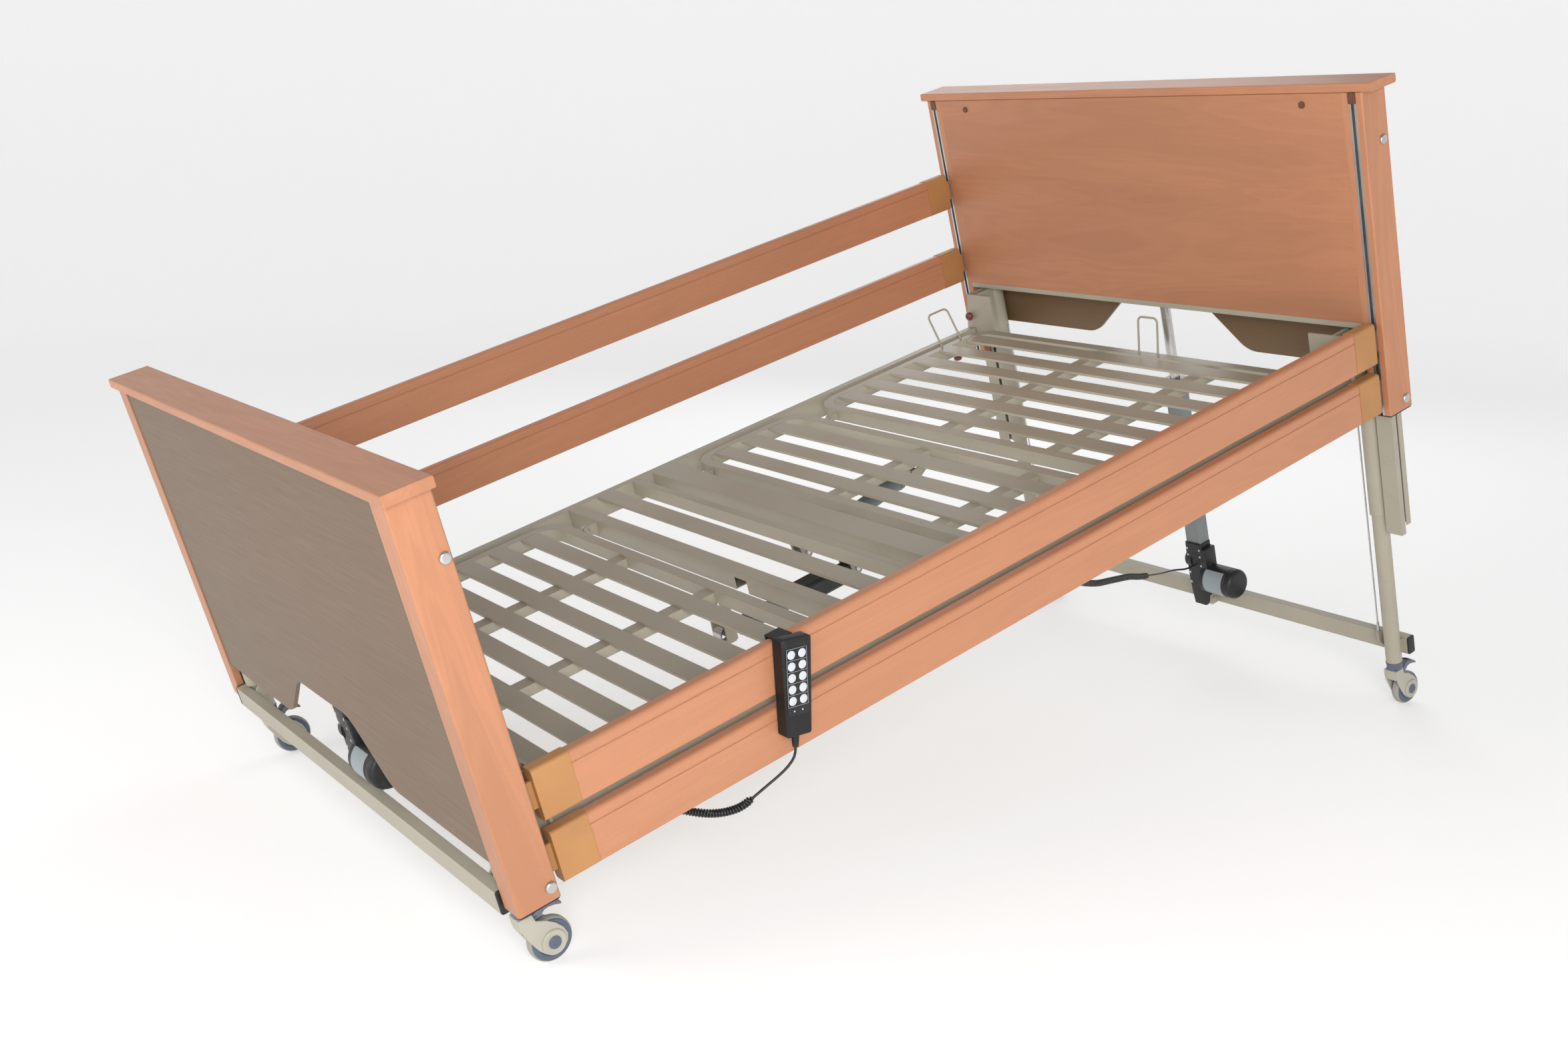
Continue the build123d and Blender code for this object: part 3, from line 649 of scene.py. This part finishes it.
def castor_fork(label, hand, end, side, drop):
    """Stem collar, hooded fork and the round covers that flank the wheel."""
    x0, y0 = side * LEG_X, end * LEG_Y
    axle = Vector((x0, y0 + TRAIL, WHEEL - drop))
    mesh = bmesh.new()
    collar = [(0, 0), (0, 16), (1.2, 17), (14, 17.6), (17, 18.6), (18.5, 17.8), (18.5, 7)]
    collar.append((18.5, 0))
    turned(mesh, (x0, y0, 98.9 - drop), Z, collar, 48, 1)
    outline = [
        (-17, 100),
        (-17, 84),
        (-14, 70),
        (-4, 46),
        (2, 34),
        (10, 24),
        (24, 17),
        (40, 18),
        (50, 27),
        (54, 38),
        (50, 52),
        (40, 66),
        (26, 78),
        (10, 86),
        (7, 100),
    ]
    for way in (-1, 1):
        origin = (x0 + (13 if way > 0 else -17), y0, -drop)
        slab(mesh, origin, Y, Z, outline, 4, 1.4)
        cover = [(15, 0), (17.2, 21.5), (19, 21), (20.2, 19.5), (20.4, 15), (19.6, 13.5)]
        turned(mesh, axle, X * way, cover + [(19.6, 11)], 56, 0)
        cap = [(19.6, 11), (21, 10.5), (22, 8), (22.2, 4), (21.4, 3.4), (21.4, 0)]
        turned(mesh, axle, X * way, cap, 40, 1)
    hood = [(-17, 76), (-17, 99), (6, 99), (6, 92), (-6, 88), (-10, 78)]
    slab(mesh, (x0 - 14, y0, -drop), Y, Z, hood, 28, 1.6)
    turned(mesh, axle - X * 14, X, [(0, 0), (0, 3.9), (28, 3.9), (28, 0)], 24, 1)
    hinge = (x0 - 14, y0 + 13, 90 - drop)
    turned(mesh, hinge, X, [(0, 0), (0, 2.4), (28, 2.4), (28, 0)], 20, 1)
    name = f"castor_{label}_{hand}"
    materials = ["cream", "band"]
    piece(f"{name}_housing", mesh, name, materials, [f"{name}_fork"])


def castor_pedal(label, hand, end, side, drop):
    """A curved foot pedal with a ribbed tread pad let into it."""
    x0, y0 = side * LEG_X, end * LEG_Y
    mesh = bmesh.new()
    outline = [
        (8.5, 86),
        (8.5, 95),
        (14, 97),
        (21, 99),
        (26, 104),
        (31, 105),
        (37, 104),
        (46, 101),
        (54, 97),
        (60, 92),
        (61, 88.5),
        (58, 88),
        (48, 92),
        (38, 94),
        (30, 93),
        (24, 88),
        (19, 85.5),
    ]
    slab(mesh, (x0 - 12, y0, -drop), Y, Z, outline, 24, 1.8)
    slope = Vector((0, 46 - 37, 101 - 104)).normalized()
    for rib in range(6):
        start = Vector((x0 - 8, y0 + 35, 104.4 - drop)) + slope * (2.9 * rib)
        turned(mesh, start, X, [(0, 0), (0.4, 0.9), (15.6, 0.9), (16, 0)], 10, 1)
    name = f"castor_{label}_{hand}"
    body = f"{name}_brake"
    piece(f"{name}_lever", mesh, body, ["pedal", "rubber"], [f"{name}_pedal"])


for label, end, drop in ENDS:
    for hand, side in HANDS:
        castor_wheel(label, hand, end, side, drop)
        castor_fork(label, hand, end, side, drop)
        castor_pedal(label, hand, end, side, drop)

# -------------------------------------------------------------- lift motors

MOTOR_RADIUS = 36.5
MOTOR_AXIS_Z = 209
BULGE_AXIS_Z = 254
SCREW_ROWS = (196, 222, 246, 270, 288)
LABEL_ALONG = (15, 34, 52, 71)
LABEL_STEPS = 24


def lift_motor(label, end, drop):
    """Upright gear housing, cross motor with a rounded end, screws and a blank plate."""
    y0 = end * LEG_Y
    mesh = bmesh.new()
    housing = [
        (-18, 136),
        (18, 136),
        (23, 146),
        (24, 180),
        (25.5, 205),
        (25.5, 262),
        (24.5, 299),
        (-24.5, 299),
        (-25.5, 262),
        (-25, 205),
        (-22, 170),
    ]
    slab(mesh, (LIFT_X, y0 + 17, -drop), X, Z, housing, 38, 3.5)
    slab(mesh, (LIFT_X, y0 - 2, 292 - drop), X, Y, rounded_outline(51, 39, 6), 12, 1.2)
    slab(mesh, (LIFT_X + 28.5, y0 + 17, 266 - drop), X, Z, box_outline(17, 52), 39, 2.5)
    motor_at = Vector((LIFT_X + 18, y0 - 2, MOTOR_AXIS_Z - drop))
    can = [
        (0, 0),
        (0, MOTOR_RADIUS - 1.5),
        (2, MOTOR_RADIUS),
        (76, MOTOR_RADIUS),
        (77, MOTOR_RADIUS - 0.8),
        (78.5, MOTOR_RADIUS - 0.8),
        (79.5, MOTOR_RADIUS),
        (87, MOTOR_RADIUS),
        (91, MOTOR_RADIUS - 1),
        (94.5, MOTOR_RADIUS - 3.5),
        (96.5, MOTOR_RADIUS - 7),
        (97, MOTOR_RADIUS - 10),
        (97, 0),
    ]
    turned(mesh, motor_at, X, can, 72, 0)
    bulge = [(0, 0), (0, 23), (14, 23), (19, 21.5), (22, 18), (23, 13), (23, 0)]
    turned(mesh, (LIFT_X - 10, y0 - 2, BULGE_AXIS_Z - drop), -X, bulge, 56, 0)
    screw = [(0, 0), (0, 3.2), (1.4, 3), (2, 2.2), (1.2, 1.4), (1.2, 0)]
    for height in SCREW_ROWS:
        for reach in (-19, 19):
            turned(mesh, (LIFT_X + reach, y0 - 20, height - drop), -Y, screw, 18, 1)
    body = f"{label}_legs"
    name = f"{label}_gearmotor"
    piece(name, mesh, body, ["black", "steel"], [f"{label}_lift_motor"])

    plate = bmesh.new()
    rows = []
    for k in range(LABEL_STEPS + 1):
        angle = radians(-66 + 126 * k / LABEL_STEPS)
        out = -Y * cos(angle) + Z * sin(angle)
        rows.append(
            [
                plate.verts.new(motor_at + X * along + out * (MOTOR_RADIUS + 0.35))
                for along in LABEL_ALONG
            ]
        )
    for lower, upper in zip(rows, rows[1:]):
        for a in range(3):
            plate.faces.new((lower[a], lower[a + 1], upper[a + 1], upper[a]))
    piece(f"{label}_motor_plate", plate, body, ["label"])


for label, end, drop in ENDS:
    lift_motor(label, end, drop)

# ------------------------------------------------------- caps, knobs, bolts


def crossbar_caps(label, end, drop):
    """Black plugs in the ends of the bar that joins the two legs."""
    mesh = bmesh.new()
    for side in (-1, 1):
        origin = (side * 588.5, end * 1078, 152 - drop)
        slab(mesh, origin, Y * side, Z, rounded_outline(21.5, 41.5, 4), 4.5, 1.2)
    piece(f"{label}_crossbar_caps", mesh, f"{label}_legs", ["black"])


def post_caps():
    """Black plugs in the feet of the four posts."""
    mesh = bmesh.new()
    for end in (-1, 1):
        for side in (-1, 1):
            origin = (side * 622, end * 1046.5, 141.5)
            slab(mesh, origin, X, Y, rounded_outline(46, 71, 5), 4.2, 1.2)
    piece("post_foot_caps", mesh, "root", ["black"])


def knob(mesh, origin, axis):
    """A mushroom head with a hex recess on its collar and thread."""
    turned(mesh, origin, axis, [(0, 0), (0, 6), (6, 6), (6, 0)], 28, 1)
    head = [(6, 0), (6, 9.5), (7.5, 10.8), (12, 11), (15, 10), (17, 7.5), (17.6, 4)]
    head += [(15.5, 3.6), (15.5, 0)]
    turned(mesh, origin, axis, head, 36, 0)


def clamp_knobs():
    mesh = bmesh.new()
    for end in (-1, 1):
        for side in (-1, 1):
            knob(mesh, (side * 571, end * 968, 270), (0, -end, 0))
            for y in (270, 900):
                knob(mesh, (side * 577, end * y, 187), (0, 0, -1))
    materials = ["red_brown", "steel"]
    piece("clamp_knobs", mesh, "root", materials, ["clamp_screws"])


for label, end, drop in ENDS:
    crossbar_caps(label, end, drop)
post_caps()
clamp_knobs()

# ------------------------------------------------------------------ handset

HANDSET_FACE = HANDSET_TOP + X * 12
HANDSET_RIGHT = HANDSET_DOWN.cross(-X).normalized()
KEY_PITCH = 19.3
FIRST_KEY = 28


def on_handset(across, down):
    return HANDSET_FACE + HANDSET_RIGHT * across + HANDSET_DOWN * down


def keypad():
    """Glossy film with white frame lines, ten domed keys and two small lamps."""
    mesh = bmesh.new()
    film = rounded_outline(42, 112, 4)
    slab(mesh, on_handset(0, 72), HANDSET_RIGHT, -HANDSET_DOWN, film, 0.6, 0.2)
    lines = [(0, 16.5 + KEY_PITCH * row, 39, 0.35) for row in range(6)]
    middle = 16.5 + KEY_PITCH * 2.5
    lines += [(across, middle, 0.35, KEY_PITCH * 5) for across in (-19.4, 19.4)]
    for across, down, width, height in lines:
        outline = box_outline(width, height)
        origin = on_handset(across, down) + X * 0.55
        slab(mesh, origin, HANDSET_RIGHT, -HANDSET_DOWN, outline, 0.12, 0, 1)
    dome = [(0, 0), (0, 7.4), (0.5, 7.3), (0.9, 6.6), (1.2, 4.5), (1.3, 2), (1.3, 0)]
    for row in range(5):
        for across in (-10.5, 10.5):
            centre = on_handset(across, FIRST_KEY - 1.7 + KEY_PITCH * row) + X * 0.4
            turned(mesh, centre, X, dome, 36, 1)
    lamp = [(0, 0), (0, 1.5), (0.5, 1.3), (0.7, 0)]
    for across in (-8, 8):
        turned(mesh, on_handset(across, 121) + X * 0.4, X, lamp, 16, 1)
    materials = ["film", "key"]
    piece("handset_keys", mesh, "rail_right_upper", materials, ["handset_keypad"])


def strain_relief():
    """Rubber rings that taper the handset down to its cord."""
    mesh = bmesh.new()
    start = HANDSET_TOP + HANDSET_DOWN * (HANDSET_LENGTH - 1)
    for ring in range(6):
        at = 3.6 * ring
        wide = 6.9 - 0.28 * ring
        profile = [(at, 4.8), (at + 0.3, wide), (at + 2.2, wide), (at + 2.5, 4.8)]
        turned(mesh, start, HANDSET_DOWN, profile, 28)
    piece("handset_strain_relief", mesh, "rail_right_upper", ["rubber"])


def hood():
    """The wider cap round the handset's top, with an ear at each side."""
    mesh = bmesh.new()
    origin = HANDSET_TOP - X * 9 + HANDSET_DOWN * 7
    slab(mesh, origin, HANDSET_RIGHT, -HANDSET_DOWN, rounded_outline(55, 17, 6), 21.5, 2.2)
    piece("handset_hood", mesh, "rail_right_upper", ["handset"])


keypad()
strain_relief()
hood()

# ----------------------------------------------------------- floor and light

CENTRE = Vector((0, 0, 0.6))


def backdrop():
    """A pale floor that curves up into a wall all round."""
    mesh = bmesh.new()
    floor, rise = 14.0, 5.0
    profile = [(3.0, 0.0), (floor - rise, 0.0)]
    angles = [radians(degrees) for degrees in range(6, 91, 6)]
    profile += [(floor - rise + rise * sin(a), rise * (1 - cos(a))) for a in angles]
    profile.append((floor, 9.0))
    segments = 96
    rings = []
    for radius, height in profile:
        turn = [2 * pi * k / segments for k in range(segments)]
        rings.append([mesh.verts.new((radius * cos(a), radius * sin(a), height)) for a in turn])
    mesh.faces.new(rings[0])
    for lower, upper in zip(rings, rings[1:]):
        for k in range(segments):
            following = (k + 1) % segments
            mesh.faces.new((lower[k], lower[following], upper[following], upper[k]))
    bmesh.ops.recalc_face_normals(mesh, faces=mesh.faces)
    data = bpy.data.meshes.new("floor")
    mesh.to_mesh(data)
    mesh.free()
    for face in data.polygons:
        face.use_smooth = True
    material = bpy.data.materials.new("floor")
    material.use_nodes = True
    shader = material.node_tree.nodes["Principled BSDF"]
    shader.inputs["Base Color"].default_value = (0.9, 0.9, 0.9, 1)
    shader.inputs["Roughness"].default_value = 0.9
    shader.inputs["Emission Color"].default_value = (1, 1, 1, 1)
    shader.inputs["Emission Strength"].default_value = 0.30
    data.materials.append(material)
    floor_object = bpy.data.objects.new("floor", data)
    bpy.context.scene.collection.objects.link(floor_object)


def area_light(name, place, size, power):
    data = bpy.data.lights.new(name, "AREA")
    data.shape = "DISK"
    data.size = size
    data.energy = power
    light = bpy.data.objects.new(name, data)
    light.location = place
    light.rotation_mode = "QUATERNION"
    light.rotation_quaternion = (CENTRE - Vector(place)).to_track_quat("-Z", "Y")
    bpy.context.scene.collection.objects.link(light)


def sky(strength):
    world = bpy.data.worlds.new("studio")
    world.use_nodes = True
    background = world.node_tree.nodes["Background"]
    background.inputs["Color"].default_value = (1, 1, 1, 1)
    background.inputs["Strength"].default_value = strength
    bpy.context.scene.world = world


backdrop()
area_light("key", (3.8, -2.4, 1.5), 1.8, 115)
area_light("fill", (-0.8, -4.4, 1.6), 2.5, 45)
area_light("rim", (-3.0, 3.2, 2.6), 2.5, 25)
sky(0.35)
bpy.context.scene.view_settings.view_transform = "Standard"
